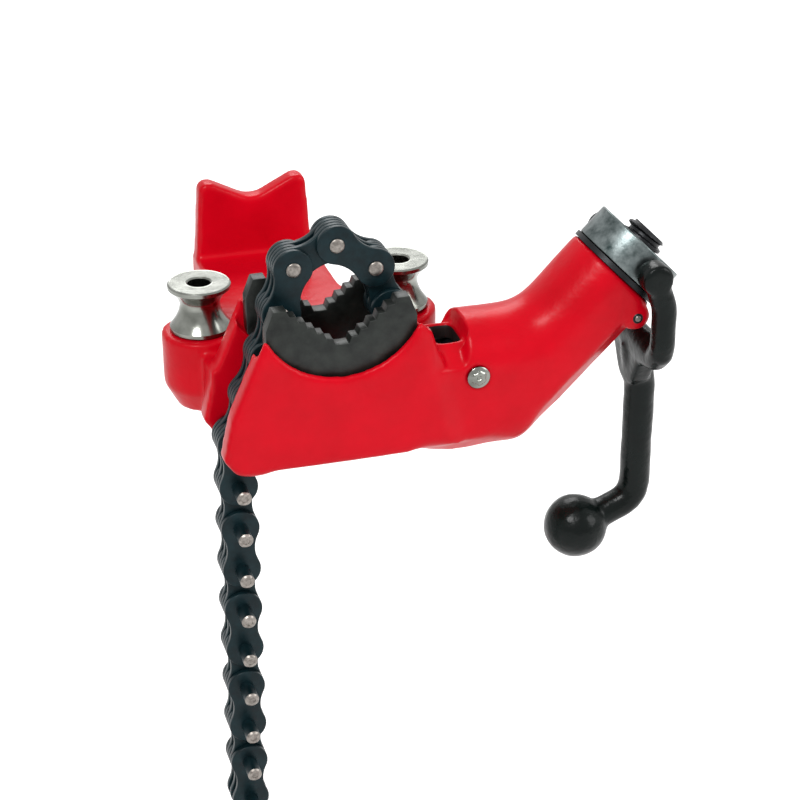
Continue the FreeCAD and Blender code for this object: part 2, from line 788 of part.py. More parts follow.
def draw_screw(anchor):
    """The screw, ending in two tongues that fit between the chain's plates."""
    top = on_arm(NUT_THICK / 2 + SCREW_PROUD, 0, 0)
    neck = anchor + ALONG * SHANK_NECK
    shank = rod(SCREW_RADIUS, neck, top)
    tongues = []
    for layer in (-1, 1):
        y = layer * (PLATE_THICK + PLATE_GAP) - PLATE_THICK / 2
        eye = cross_rod(TONGUE_HALF, anchor.x, anchor.z, y, y + PLATE_THICK)
        low = anchor - ACROSS * TONGUE_HALF + SIDE * y
        bar = prism([
            (low, 0), (low + ACROSS * (2 * TONGUE_HALF), 0),
            (low + ACROSS * (2 * TONGUE_HALF) + ALONG * (SHANK_NECK + OVERRUN), 0),
            (low + ALONG * (SHANK_NECK + OVERRUN), 0),
        ], SIDE * PLATE_THICK)
        tongues += [eye, bar]
    solid = shank.multiFuse(tongues)
    hole = cross_rod(PIN_RADIUS + RUN_GAP, anchor.x, anchor.z, -STACK_HALF, STACK_HALF)
    return solid.cut(hole).removeSplitter()


def handle_studs():
    """The eyes of the yoke with the studs that the handle swings on."""
    near = NUT_RADIUS + TINE_GAP
    far = near + 2 * TINE_RADIUS
    parts = []
    for side in (-1, 1):
        parts.append(cross_rod(EYE_RADIUS, NUT_X, NUT_Z, side * near, side * far))
        inner = side * (NUT_RADIUS - STUD_REACH)
        parts.append(cross_rod(STUD_RADIUS, NUT_X, NUT_Z, inner, side * far))
    return parts


def handle_yoke():
    """The bar of the yoke, from one eye under the arm to the other."""
    reach = NUT_RADIUS + TINE_GAP + TINE_RADIUS
    corners = []
    for side in (-1, 1):
        half = [
            (vec(NUT_X, side * reach, NUT_Z), 0),
            (vec(TINE_X, side * reach, NUT_Z - TINE_SHOULDER), TINE_ROUND),
            (vec(TINE_X, side * reach, PALM_BAR_Z), TINE_ROUND),
        ]
        corners += half if side < 0 else half[::-1]
    return bar(TINE_RADIUS, corners)


def handle_palm():
    """The web that spreads the shank into the yoke."""
    left = TINE_X - PALM_THICK / 2
    outline = [
        (-PALM_HALF, PALM_BAR_Z, 0), (-SHANK_RADIUS, PALM_FOOT_Z, SHANK_RADIUS),
        (SHANK_RADIUS, PALM_FOOT_Z, SHANK_RADIUS), (PALM_HALF, PALM_BAR_Z, 0),
    ]
    corners = [(vec(left, y, z), radius) for y, z, radius in outline]
    return prism(corners, vec(PALM_THICK, 0, 0))


def handle():
    """The handle in one casting: eyes, yoke, palm, bent shank and ball."""
    ball = vec(BALL_X, 0, BALL_Z)
    shank = bar(SHANK_RADIUS, [
        (vec(TINE_X, 0, PALM_BAR_Z), 0),
        (vec(SHANK_X, 0, PALM_FOOT_Z - SHANK_X + TINE_X), ELBOW_ROUND),
        (vec(SHANK_X, 0, ELBOW_Z), ELBOW_ROUND),
        (ball, 0),
    ])
    parts = [handle_palm(), shank, Part.makeSphere(BALL_RADIUS, ball)] + handle_studs()
    solid = handle_yoke()
    for part in parts:
        solid = solid.fuse(part)
    return solid


def held_links(pins):
    """The chain from under the roller over the jaws to the horns."""
    links = {}
    for n in range(len(pins) - 1):
        name = "held_link_%02d" % (n + 1)
        if n % 2 == 0:
            links[name] = pin_link(pins[n], pins[n + 1], False)
        else:
            links[name] = inner_link(pins[n], pins[n + 1], 0)
    return links


def tail_links(pins):
    """The free end of the chain, with long pins that can be hooked on the horns."""
    links = {}
    for n in range(len(pins) - 1):
        name = "tail_link_%02d" % (n + 1)
        if n % 2 == 0:
            links[name] = pin_link(pins[n], pins[n + 1], True)
        else:
            links[name] = inner_link(pins[n], pins[n + 1], 0)
    return links


def build():
    pins = chain_pins()
    anchor = anchor_pins(pins[0])
    nodes = {"base_casting": base_casting(), "jaw_front": jaw(-1), "jaw_rear": jaw(1)}
    nodes["jaw_screws"] = jaw_screws()
    for side, name in ((-1, "left"), (1, "right")):
        nodes[name + "_spool"] = spool(side)
        nodes[name + "_spool_bolt"] = spool_bolt(side)
    nodes["guide_pin"] = guide_pin()
    nodes["guide_roller"] = guide_roller()
    nodes["guide_bush"] = guide_bush()
    nodes["thrust_washer"] = thrust_washer()
    nodes["nut"] = nut()
    nodes["draw_screw"] = draw_screw(anchor[1])
    nodes["anchor_link_outer"] = pin_link(anchor[0], anchor[1], False)
    nodes["anchor_link_inner"] = inner_link(anchor[0], pins[0], ANCHOR_SLACK)
    nodes["handle"] = handle()
    nodes.update(held_links(pins))
    nodes.update(tail_links(tail_pins(pins[-1])))
    return nodes


os.makedirs("parts", exist_ok=True)
for node_name, shape in build().items():
    shape.exportStep("parts/%s.step" % node_name)
    print(node_name, len(shape.Solids), round(shape.Volume, 1), shape.isValid())
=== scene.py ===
import logging
import math
from dataclasses import dataclass, field
from enum import Enum

import bmesh
import bpy
import numpy as np
from bpy.types import Material, Mesh, Node, NodeSocket, NodeTree, Object
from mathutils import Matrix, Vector


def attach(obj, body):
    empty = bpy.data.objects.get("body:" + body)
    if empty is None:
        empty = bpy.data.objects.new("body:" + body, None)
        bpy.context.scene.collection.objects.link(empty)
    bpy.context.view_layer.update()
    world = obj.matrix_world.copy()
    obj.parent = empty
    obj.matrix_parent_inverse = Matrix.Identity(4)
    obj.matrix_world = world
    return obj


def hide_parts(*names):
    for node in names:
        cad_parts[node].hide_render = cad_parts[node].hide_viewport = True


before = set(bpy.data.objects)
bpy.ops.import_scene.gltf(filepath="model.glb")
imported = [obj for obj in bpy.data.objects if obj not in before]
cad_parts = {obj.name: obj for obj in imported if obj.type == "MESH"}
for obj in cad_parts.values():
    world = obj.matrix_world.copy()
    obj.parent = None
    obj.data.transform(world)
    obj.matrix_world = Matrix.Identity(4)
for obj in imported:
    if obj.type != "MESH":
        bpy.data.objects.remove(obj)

log = logging.getLogger("chain_vise")

Array = np.ndarray
Point = tuple[float, float, float]

MM = 0.001
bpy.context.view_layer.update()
ACROSS = np.array([0.0, 1.0, 0.0])
UP = np.array([0.0, 0.0, 1.0])
UP_ARM = np.array([1.0, 0.0, 1.0]) / math.sqrt(2)
# Points of one grid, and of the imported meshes, that lie this close are one point.
GRID_MERGE = 0.001 * MM
MESH_MERGE = 0.002 * MM
# An open pole of a grid leaves this much of it out.
POLE_GAP = 0.02
# At a scale of 1, Blender's wave texture turns this many radians in a unit.
WAVE_TURN = 20


class Fastened(Enum):
    """How the pins of a chain link are finished at their ends."""

    RIVETED = "riveted"
    HOOKING = "hooking"
    NONE = "none"


def linear_colour(code: str) -> tuple[float, float, float, float]:
    """Turns an sRGB hex colour into the linear values that a shader takes.

    Args:
        code: Six hex digits after a hash sign.

    Returns:
        Red, green, blue and full alpha.
    """
    values = []
    for start in (1, 3, 5):
        share = int(code[start : start + 2], 16) / 255
        values.append(share / 12.92 if share <= 0.04045 else ((share + 0.055) / 1.055) ** 2.4)
    return (*values, 1.0)


def add_node(tree: NodeTree, kind: str, settings: dict, links: dict) -> Node:
    """Adds one shader node.

    Args:
        tree: The node tree of a material.
        kind: Blender's name of the node type, less its prefix.
        settings: Values by input name, or by property name after a leading dot.
        links: Output sockets by the name of the input that they feed.

    Returns:
        The new node.
    """
    node = tree.nodes.new("ShaderNode" + kind)
    for name, value in settings.items():
        if name.startswith("."):
            setattr(node, name[1:], value)
        else:
            node.inputs[name].default_value = value
    for name, socket in links.items():
        tree.links.new(socket, node.inputs[name])
    return node


@dataclass(frozen=True)
class Finish:
    """A surface made by one process, with an uneven tone and a fine relief.

    Each pattern is a noise whose cell is a real length in millimetres.
    """

    name: str
    slot: str
    light: str
    dark: str
    metallic: float
    roughness: float
    gloss_spread: float = 0.06
    tone_mm: float = 14.0
    relief_mm: float = 2.4
    relief_depth_mm: float = 0.12
    lathe_mm: float = 0.0
    specular: float = 0.5
    ramp_ends: tuple[float, float] = (0.3, 0.7)
    grain_strength: float = 0.6
    ring_strength: float = 0.35

    def make(self) -> Material:
        """Builds the material.

        Returns:
            A material that reads Object coordinates.
        """
        material = bpy.data.materials.new(self.name)
        material.use_nodes = True
        tree = material.node_tree
        shader = tree.nodes["Principled BSDF"]
        shader.inputs["Metallic"].default_value = self.metallic
        shader.inputs["Specular IOR Level"].default_value = self.specular
        place = add_node(tree, "TexCoord", {}, {}).outputs["Object"]
        cells = {"Scale": 1 / (self.tone_mm * MM), "Detail": 4.0, "Roughness": 0.6}
        tone = add_node(tree, "TexNoise", cells, {"Vector": place}).outputs["Fac"]
        ramp = add_node(tree, "ValToRGB", {}, {"Fac": tone})
        stops = zip(ramp.color_ramp.elements, self.ramp_ends, (self.dark, self.light))
        for stop, position, code in stops:
            stop.position = position
            stop.color = linear_colour(code)
        tree.links.new(ramp.outputs["Color"], shader.inputs["Base Color"])
        low, high = self.roughness - self.gloss_spread, self.roughness + self.gloss_spread
        ends = {"To Min": low, "To Max": high}
        gloss = add_node(tree, "MapRange", ends, {"Value": tone})
        tree.links.new(gloss.outputs["Result"], shader.inputs["Roughness"])
        tree.links.new(self._relief(tree, place), shader.inputs["Normal"])
        return material

    def _relief(self, tree: NodeTree, place: NodeSocket) -> NodeSocket:
        """Adds the fine relief, and the tool's rings where a lathe left them.

        Args:
            tree: The material's node tree.
            place: The socket that gives Object coordinates.

        Returns:
            The socket that carries the bumped normal.
        """
        cells = {"Scale": 1 / (self.relief_mm * MM), "Detail": 3.0}
        grain = add_node(tree, "TexNoise", cells, {"Vector": place}).outputs["Fac"]
        depth = {"Strength": self.grain_strength, "Distance": self.relief_depth_mm * MM}
        bump = add_node(tree, "Bump", depth, {"Height": grain})
        if self.lathe_mm:
            scale = 2 * math.pi / WAVE_TURN / (self.lathe_mm * MM)
            waves = {".bands_direction": "Z", "Scale": scale, "Distortion": 0.4}
            rings = add_node(tree, "TexWave", waves, {"Vector": place}).outputs["Fac"]
            depth["Strength"] = self.ring_strength
            under = {"Height": rings, "Normal": bump.outputs["Normal"]}
            bump = add_node(tree, "Bump", depth, under)
        return bump.outputs["Normal"]


# Stoving enamel over a sand casting: the mould's grain shows as soft waves under a gloss.
RED_ENAMEL = Finish(
    "red_stoving_enamel", "red_paint", "#CC021A", "#BE0216", metallic=0.0, roughness=0.3,
    gloss_spread=0.05, tone_mm=26.0, relief_mm=5.0, relief_depth_mm=0.35, specular=0.12,
)
# The casting's chamber under the hatch: painted shade, a near-black brown put where shade falls.
CHAMBER_SHADE = Finish(
    "chamber_painted_shade", "red_paint", "#241816", "#140C0B", metallic=0.2, roughness=0.55,
    gloss_spread=0.1, tone_mm=5.0, relief_mm=2.0, relief_depth_mm=0.3,
)
# Black asphalt paint over cast iron: glossy, with a coarse lumpy skin.
BLACK_ENAMEL = Finish(
    "black_paint_on_iron", "black_iron", "#08110F", "#040908", metallic=0.0, roughness=0.26,
    gloss_spread=0.07, tone_mm=12.0, relief_mm=3.5, relief_depth_mm=0.5, specular=0.15,
)
# Quenched and oiled steel plates: blue-black with a dull sheen.
OILED_STEEL = Finish(
    "oiled_blue_black_steel", "chain_steel", "#10262B", "#08171B", metallic=0.2, roughness=0.36,
    tone_mm=6.0, relief_mm=1.2, relief_depth_mm=0.05, specular=0.22,
)
# Pin ends rubbed bare in use: warm grey steel.
RUBBED_STEEL = Finish(
    "rubbed_bare_steel", "chain_steel", "#9A948E", "#66615C", metallic=0.9, roughness=0.38,
    gloss_spread=0.08, tone_mm=2.0, relief_mm=0.8, relief_depth_mm=0.04,
)
# Hardened jaw steel with its black scale left on.
JAW_STEEL = Finish(
    "hardened_jaw_steel", "jaw_steel", "#262A27", "#0F1211", metallic=0.45, roughness=0.42,
    gloss_spread=0.08, tone_mm=7.0, relief_mm=1.5, relief_depth_mm=0.1,
)
# Black-oxide machine steel.
OXIDE_STEEL = Finish(
    "black_oxide_steel", "dark_steel", "#202225", "#111214", metallic=0.6, roughness=0.36,
    tone_mm=5.0, relief_mm=1.0, relief_depth_mm=0.05,
)
# Turned and zinc-plated steel: bright with fine tool rings.
TURNED_ZINC = Finish(
    "turned_zinc_plate", "turned_zinc", "#8F918B", "#666862", metallic=1.0, roughness=0.2,
    gloss_spread=0.05, tone_mm=12.0, relief_mm=1.5, relief_depth_mm=0.03, lathe_mm=7.54,
)
# Barrel-plated zinc: brushed-looking patches of light and grey.
PLATED_ZINC = Finish(
    "barrel_plated_zinc", "zinc", "#7C8484", "#303B3B", metallic=1.0, roughness=0.34,
    gloss_spread=0.08, tone_mm=7.0, relief_mm=1.2, relief_depth_mm=0.08,
)
MATERIALS = {
    finish.name: finish.make()
    for finish in (
        RED_ENAMEL, CHAMBER_SHADE, BLACK_ENAMEL, OILED_STEEL, RUBBED_STEEL, JAW_STEEL,
        OXIDE_STEEL, TURNED_ZINC, PLATED_ZINC,
    )
}


@dataclass
class Solid:
    """Closed shells gathered into one piece, each with its own finish."""

    name: str
    finishes: list[Finish]
    points: list[Array] = field(default_factory=list)
    faces: list[Array] = field(default_factory=list)
    marks: list[Array] = field(default_factory=list)
    sharp_degrees: float = 38.0

    def add_grid(self, grid: Array, finish: int | list[int] = 0) -> None:
        """Adds a surface that closes round its second direction.

        Args:
            grid: Rows of rings of points, in millimetres, from one pole or edge to the other.
            finish: Which of the finishes the surface takes, or one for each step between two rows.
        """
        rows, columns = grid.shape[:2]
        start = sum(len(batch) for batch in self.points)
        index = np.arange(rows * columns).reshape(rows, columns) + start
        along = np.roll(index, -1, axis=1)
        quads = np.stack([index[:-1], along[:-1], along[1:], index[1:]], axis=-1).reshape(-1, 4)
        self.points.append(grid.reshape(-1, 3) * MM)
        self.faces.append(quads)
        self.marks.append(np.repeat(np.broadcast_to(finish, rows - 1), columns))

    def closed_mesh(self) -> Mesh:
        """Makes the mesh, closes its poles and points its faces outwards.

        Returns:
            A mesh in the frame's metres.
        """
        mesh = bpy.data.meshes.new(self.name)
        mesh.from_pydata(np.concatenate(self.points), [], np.concatenate(self.faces).tolist())
        mesh.polygons.foreach_set("material_index", np.concatenate(self.marks))
        work = bmesh.new()
        work.from_mesh(mesh)
        bmesh.ops.remove_doubles(work, verts=work.verts, dist=GRID_MERGE)
        bmesh.ops.dissolve_degenerate(work, edges=work.edges, dist=GRID_MERGE)
        bmesh.ops.recalc_face_normals(work, faces=work.faces)
        work.to_mesh(mesh)
        work.free()
        return mesh

    def build(self, body: str, node: str | None = None) -> Object:
        """Makes the object, with its hard edges left sharp.

        Args:
            body: The body that it rides on.
            node: The CAD node that it stands for, if any.

        Returns:
            The object, at the origin.
        """
        mesh = self.closed_mesh()
        mesh.shade_smooth()
        mesh.set_sharp_from_angle(angle=math.radians(self.sharp_degrees))
        return fitted(place(self.name, mesh, self.finishes), body, node)


def linked(name: str, data: bpy.types.ID) -> Object:
    """Puts an object with some data into the scene."""
    thing = bpy.data.objects.new(name, data)
    bpy.context.scene.collection.objects.link(thing)
    return thing


def place(name: str, mesh: Mesh, finishes: list[Finish]) -> Object:
    """Puts a mesh into the scene with its finishes.

    Args:
        name: The object's name.
        mesh: A mesh whose points are in the frame's metres.
        finishes: One finish for each material index.

    Returns:
        The object.
    """
    thing = linked(name, mesh)
    for finish in finishes:
        mesh.materials.append(MATERIALS[finish.name])
    return thing


def fitted(thing: Object, body: str, node: str | None = None) -> Object:
    """Ties an object to what it moves with and to what it stands for.

    Args:
        thing: The object.
        body: The body that it rides on.
        node: The CAD node that it stands for, if any.

    Returns:
        The same object.
    """
    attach(thing, body)
    if node:
        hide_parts(node)
    return thing


def merged_copy(node: str) -> Mesh:
    """Copies a CAD node's mesh with its loose triangles joined.

    Args:
        node: The node's name.

    Returns:
        A closed mesh.
    """
    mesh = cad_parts[node].data.copy()
    mesh.materials.clear()
    work = bmesh.new()
    work.from_mesh(mesh)
    bmesh.ops.remove_doubles(work, verts=work.verts, dist=MESH_MERGE)
    work.to_mesh(mesh)
    work.free()
    return mesh


def bake_modifiers(thing: Object) -> None:
    """Writes an object's modifiers into its mesh.

    Args:
        thing: The object.
    """
    graph = bpy.context.evaluated_depsgraph_get()
    baked = bpy.data.meshes.new_from_object(thing.evaluated_get(graph))
    thing.modifiers.clear()
    thing.data = baked


def relaxed(points: Array, edges: Array, weights: Array, passes: int) -> Array:
    """Relaxes a mesh: each pass moves a point half of its weight towards its neighbours' mean.

    Args:
        points: Rows of coordinates.
        edges: Rows of the two points that an edge joins.
        weights: One share from 0 to 1 for each point.
        passes: How many times this is done.

    Returns:
        The moved points.
    """
    count = len(points)
    first, second = edges[:, 0], edges[:, 1]
    neighbours = np.maximum(np.bincount(edges.ravel(), minlength=count), 1)[:, None]
    for _ in range(passes):
        total = [
            np.bincount(first, points[second, axis], count)
            + np.bincount(second, points[first, axis], count)
            for axis in range(3)
        ]
        mean = np.stack(total, axis=1) / neighbours
        points = points + 0.5 * weights[:, None] * (mean - points)
    return points


def eased(share: Array) -> Array:
    """Eases a share from 0 to 1 with level ends: three squares less two cubes."""
    held = np.clip(share, 0, 1)
    return held * held * (3 - 2 * held)


def mirrored(profile: Array) -> Array:
    """Adds a profile's mirror image, so that it runs from one end to the other."""
    return np.concatenate([profile, profile[::-1] * np.array([1.0, -1.0])])


def swept(sections: Array) -> Array:
    """Closes a row of sections by drawing the first and the last in to their middles.

    Args:
        sections: Rows of rings of points.

    Returns:
        The same grid with a pole at each end.
    """
    poles = sections[[0, -1]].mean(axis=1, keepdims=True) * np.ones((1, sections.shape[1], 1))
    return np.concatenate([poles[:1], sections, poles[1:]])


@dataclass
class CastPiece:
    """A sand-cast piece: its solid with every edge rounded as a mould leaves it.

    The solid is resampled on an even grid of cells and relaxed, so that edges
    take a radius of about two cells, and its skin is lifted by a slow noise.
    """

    node: str
    body: str
    finish: Finish
    cell_mm: float
    passes: int
    wave_mm: float
    wave_depth_mm: float
    growth_mm: float

    def melted_in(self) -> list[Array]:
        """Lists closed grids that are cast in one with the solid."""
        raise NotImplementedError

    def shaped(self, points: Array, edges: Array) -> Array:
        """Shapes the resampled points further.

        Args:
            points: Rows of coordinates in millimetres.
            edges: Rows of the two points that an edge joins.

        Returns:
            The moved points.
        """
        return points

    def _blank(self) -> Mesh:
        """Joins the solid's mesh and the grids that are melted into it.

        Returns:
            A mesh in the frame's metres.
        """
        mesh = merged_copy(self.node)
        added = Solid(self.node + "_added", [])
        for grid in self.melted_in():
            added.add_grid(grid)
        work = bmesh.new()
        work.from_mesh(mesh)
        work.from_mesh(added.closed_mesh())
        work.to_mesh(mesh)
        work.free()
        return mesh

    def build(self) -> Object:
        """Makes the cast piece and lets it stand for its node.

        Returns:
            The object.
        """
        thing = place(self.node + "_cast", self._blank(), [self.finish])
        cells = thing.modifiers.new("cells", "REMESH")
        cells.mode = "VOXEL"
        cells.voxel_size = self.cell_mm * MM
        bake_modifiers(thing)
        mesh = thing.data
        points = np.empty(len(mesh.vertices) * 3)
        mesh.vertices.foreach_get("co", points)
        edges = np.empty(len(mesh.edges) * 2, dtype=np.int64)
        mesh.edges.foreach_get("vertices", edges)
        points, edges = points.reshape(-1, 3) / MM, edges.reshape(-1, 2)
        points = relaxed(points, edges, np.ones(len(points)), self.passes)
        points = self.shaped(points, edges)
        mesh.vertices.foreach_set("co", (points * MM).ravel())
        mesh.update()
        skin = thing.modifiers.new("skin", "DISPLACE")
        skin.texture = bpy.data.textures.new(self.node + "_skin", "CLOUDS")
        skin.texture.noise_scale = self.wave_mm * MM
        skin.texture_coords = "LOCAL"
        skin.strength = self.wave_depth_mm * MM
        skin.mid_level = 0.5 - self.growth_mm / self.wave_depth_mm
        bake_modifiers(thing)
        thing.data.shade_smooth()
        return fitted(thing, self.body, self.node)


@dataclass
class ViseBody(CastPiece):
    """The red casting: its bends flow in wide curves and its hatch lies in a dip.

    Each blend is a middle in x and z, a reach and a share of the full relaxing.
    """

    arm_angle: float = 45.0
    body_top: float = 63.5
    body_half: float = 25.9
    axis_height: float = 37.5
    bend_x: float = 117.3
    bend_radius: float = 62.0
    bend_inner: float = 19.0
    bend_spread: float = 84.0
    belly_left: float = 49.7
    belly_drop: float = 11.6
    ramp_length: float = 20.0
    ramp_lap: float = 3.0
    ramp_edge: float = 1.5
    ramp_proud: float = 0.2
    ramp_bow_share: float = 0.9
    side_inner: float = 13.6
    heel: Point = (-47.0, -24.5, 2.2)
    heel_size: Point = (13.0, 6.4, 5.4)
    lug: Point = (163.2, -19.5, 59.2)
    lug_radius: float = 8.0
    lug_half: float = 6.9
    lug_edge: float = 2.0
    pin_rings: tuple[tuple[float, float], ...] = ((2.9, 0.25), (1.7, 0.7))
    pin_deep: float = 3.0
    pin_edge: float = 0.3
    blends: tuple[tuple[float, float, float, float], ...] = (
        (104.0, 63.0, 34.0, 1.0),
        (103.0, -12.0, 34.0, 1.0),
        (48.0, -6.0, 16.0, 1.0),
        (64.0, 46.0, 14.0, 0.25),
    )
    blend_fall: float = 1.4
    blend_passes: int = 60
    dip_depth: float = 8.0
    dip_left: float = 47.5
    dip_right: float = 71.5
    dip_ease: float = 5.5
    dip_foot: float = 40.0
    hatch_right: float = 66.0
    hatch_front: float = -10.0
    hatch_stretch: float = 3.2
    stretch_lead: float = 7.0
    stretch_rise: float = 6.0
    stretch_reach: tuple[float, float] = (8.0, 9.0)
    stretch_fall: float = 8.0
    stretch_half: float = 18.0
    stretch_side: float = 4.0
    # How far below the dip's floor the chamber's painted shade begins.
    shade_start_depth: float = 3.5
    chamber_left: float = 20.0
    chamber_low: float = 4.0

    def _upper_bend(self) -> Array:
        """Fills the upper side of the bend: a crescent carried along an arc into the arm.

        Returns:
            A grid.
        """
        turn = np.radians(np.linspace(0, self.arm_angle, 24))
        still = np.zeros(len(turn))
        start = self.bend_x - self.bend_radius * math.tan(math.radians(self.arm_angle) / 2)
        along = start + self.bend_radius * np.sin(turn)
        height = self.axis_height + self.bend_radius * (1 - np.cos(turn))
        path = np.stack([along, still, height], axis=1)
        inward = np.stack([-np.sin(turn), still, np.cos(turn)], axis=1)
        swing = np.radians(np.linspace(-self.bend_spread, self.bend_spread, 40))
        radius = np.repeat([self.body_half, self.bend_inner], len(swing))
        swing = np.concatenate([swing, swing[::-1]])
        high, wide = radius * np.cos(swing), radius * np.sin(swing)
        return swept(path[:, None] + high[:, None] * inward[:, None] + wide[:, None] * ACROSS)

    def _belly_ramp(self, side: int) -> Array:
        """Slopes a wall's foot down to the belly.

        Args:
            side: 1 at the rear and -1 at the front.

        Returns:
            A grid.
        """
        left = self.belly_left - self.ramp_length
        right = self.belly_left + self.ramp_length / 4
        across = np.linspace(self.side_inner, self.body_half - self.ramp_edge, 8)
        fall = np.maximum(self.belly_drop - (across - self.side_inner), 0)
        sections = []
        for level, low in zip(across, -self.ramp_proud - fall):
            bow = (self.belly_left - self.ramp_lap, low * self.ramp_bow_share)
            corners = [(left, self.ramp_lap), (left, -self.ramp_proud), bow]
            corners += [(right, low), (right, self.ramp_lap)]
            sections.append([(x, level * side, z) for x, z in corners])
        return swept(np.array(sections))

    def _heel(self) -> Array:
        """Rounds out the wall's low front corner with an ellipsoid.

        Returns:
            A grid.
        """
        turn = np.linspace(POLE_GAP, math.pi - POLE_GAP, 16)
        half_circle = np.stack([np.sin(turn), np.cos(turn)], axis=1)
        ball = turned(half_circle, np.zeros(3), UP, 24)
        return np.array(self.heel) + ball * np.array(self.heel_size)

    def _lug(self) -> Array:
        """Adds the retaining pin's lug: a short round boss across the arm's lower corner.

        Returns:
            A grid.
        """
        half, edge, radius = self.lug_half, self.lug_edge, self.lug_radius
        profile = np.array([[0.0, -half], [radius - edge, -half], [radius, edge - half]])
        return turned(mirrored(profile), np.array(self.lug), ACROSS, 32)

    def melted_in(self) -> list[Array]:
        """Lists the bend's filling, both ramps, the heel and the lug."""
        ramps = [self._belly_ramp(-1), self._belly_ramp(1)]
        return [self._upper_bend(), *ramps, self._heel(), self._lug()]

    def _stretched(self, value: Array, rim: float, reach: float) -> Array:
        """Gives the share of the hatch's stretch: it rises up to the rim and falls behind it.

        Args:
            value: Places along the direction of the stretch.
            rim: Where the rim lies.
            reach: How far behind the rim the share is back at zero.

        Returns:
            A share for each place.
        """
        rise = eased((value - rim + self.stretch_lead) / self.stretch_rise)
        return rise * eased((rim + reach - value) / self.stretch_fall)

    def shaped(self, points: Array, edges: Array) -> Array:
        """Relaxes the bends further, presses the dip round the hatch and widens the hatch.

        Args:
            points: Rows of coordinates in millimetres.
            edges: Rows of an edge's two points.

        Returns:
            The moved points.
        """
        weights = np.zeros(len(points))
        for centre_x, centre_z, reach, share in self.blends:
            far = np.hypot(points[:, 0] - centre_x, points[:, 2] - centre_z) / reach
            weights = np.maximum(weights, eased(self.blend_fall * (1 - far)) * share)
        points = relaxed(points, edges, weights, self.blend_passes)
        x, y, z = points.T
        left = eased((x - self.dip_left) / self.dip_ease)
        along = left * eased((self.dip_right - x) / self.dip_ease)
        up = eased((z - self.dip_foot) / (self.body_top - self.dip_foot - self.dip_depth))
        right_reach, front_reach = self.stretch_reach
        rightward = self._stretched(x, self.hatch_right, right_reach)
        forward = self._stretched(-y, -self.hatch_front, front_reach)
        inside = eased((self.stretch_half - np.abs(y)) / self.stretch_side)
        move_x = self.hatch_stretch * rightward * up * inside
        move_y = -self.hatch_stretch * forward * up * along
        return points + np.stack([move_x, move_y, -self.dip_depth * along * up], axis=1)

    def build(self) -> Object:
        """Makes the casting and paints shade into the chamber under the hatch with a near-black
        finish.

        Returns:
            The object.
        """
        thing = super().build()
        thing.data.materials.append(MATERIALS[CHAMBER_SHADE.name])
        middles = np.empty(len(thing.data.polygons) * 3)
        thing.data.polygons.foreach_get("center", middles)
        x, y, z = middles.reshape(-1, 3).T / MM
        # Faces in the chamber, from a little below the dip's floor down, take the painted shade.
        top = self.body_top - self.dip_depth - self.shade_start_depth
        inside = (x > self.chamber_left) & (x < self.hatch_right + self.dip_ease)
        inside &= (np.abs(y) < self.side_inner) & (z > self.chamber_low) & (z < top)
        thing.data.polygons.foreach_set("material_index", inside.astype(np.int32))
        return thing

    def retaining_pin(self) -> Object:
        """Makes the small pin in the lug: a steel end in a dark rim.

        Returns:
            The object.
        """
        solid = Solid("retaining_pin", [OXIDE_STEEL, RUBBED_STEEL])
        face = np.array(self.lug) - self.lug_half * ACROSS
        deep, edge = self.pin_deep, self.pin_edge
        for finish, (radius, proud) in enumerate(self.pin_rings):
            outline = [(0.0, deep), (radius, deep), (radius, edge - proud)]
            outline += [(radius - edge, -proud), (0.0, -proud)]
            grid = turned(np.array(outline), face, ACROSS, 32)
            solid.add_grid(grid, finish)
        return solid.build("frame")


@dataclass
class CrankHandle(CastPiece):
    """The black handle: its fork has a deep web between both tines."""

    web: Point = (174.0, 0.0, 36.8)
    web_size: Point = (6.6, 35.0, 9.6)
    web_power: int = 6

    def melted_in(self) -> list[Array]:
        """Lists the web: an oval section that keeps its height almost out to the tines.

        Returns:
            One grid.
        """
        share = np.linspace(-1, 1, 30)
        height = np.maximum((1 - share**self.web_power) ** 0.5, POLE_GAP)
        turn = np.linspace(0, 2 * math.pi, 24, endpoint=False)
        ring = np.stack([np.cos(turn), np.zeros(24), np.sin(turn)], axis=1)
        sections = ring * height[:, None, None] * np.array(self.web_size)
        out = share[:, None, None] * self.web_size[1] * ACROSS
        return [swept(sections + out + np.array(self.web))]


@dataclass
class MachinedPiece:
    """A machined piece: its solid with a narrow bevel on each hard edge."""

    node: str
    body: str
    finish: Finish
    bevel_mm: float = 0.35
    flat_degrees: float = 1.0
    bevel_degrees: float = 32.0
    sharp_degrees: float = 35.0

    def build(self) -> Object:
        """Makes the bevelled piece and lets it stand for its node.

        Returns:
            The object.
        """
        thing = place(self.node + "_machined", merged_copy(self.node), [self.finish])
        work = bmesh.new()
        work.from_mesh(thing.data)
        flat = math.radians(self.flat_degrees)
        bmesh.ops.dissolve_limit(work, angle_limit=flat, verts=work.verts, edges=work.edges)
        work.to_mesh(thing.data)
        work.free()
        edge = thing.modifiers.new("edge", "BEVEL")
        edge.width = self.bevel_mm * MM
        edge.segments = 2
        edge.limit_method = "ANGLE"
        edge.angle_limit = math.radians(self.bevel_degrees)
        bake_modifiers(thing)
        thing.data.shade_smooth()
        thing.data.set_sharp_from_angle(angle=math.radians(self.sharp_degrees))
        return fitted(thing, self.body, self.node)


def turned(profile: Array, centre: Array, axis: Array, sides: int) -> Array:
    """Carries a profile round an axis: each ring is a circle of the profile's radius.

    Args:
        profile: Rows of radius and height along the axis, in millimetres.
        centre: The point at height zero.
        axis: A unit vector.
        sides: Points in each ring.

    Returns:
        A grid of points.
    """
    helper = ACROSS if abs(axis[1]) < 0.9 else np.array([1.0, 0.0, 0.0])
    across = np.cross(helper, axis)
    across /= np.linalg.norm(across)
    square = np.cross(axis, across)
    turn = np.linspace(0, 2 * math.pi, sides, endpoint=False)
    ring = np.cos(turn)[:, None] * across + np.sin(turn)[:, None] * square
    return centre + profile[:, 1, None, None] * axis + profile[:, 0, None, None] * ring


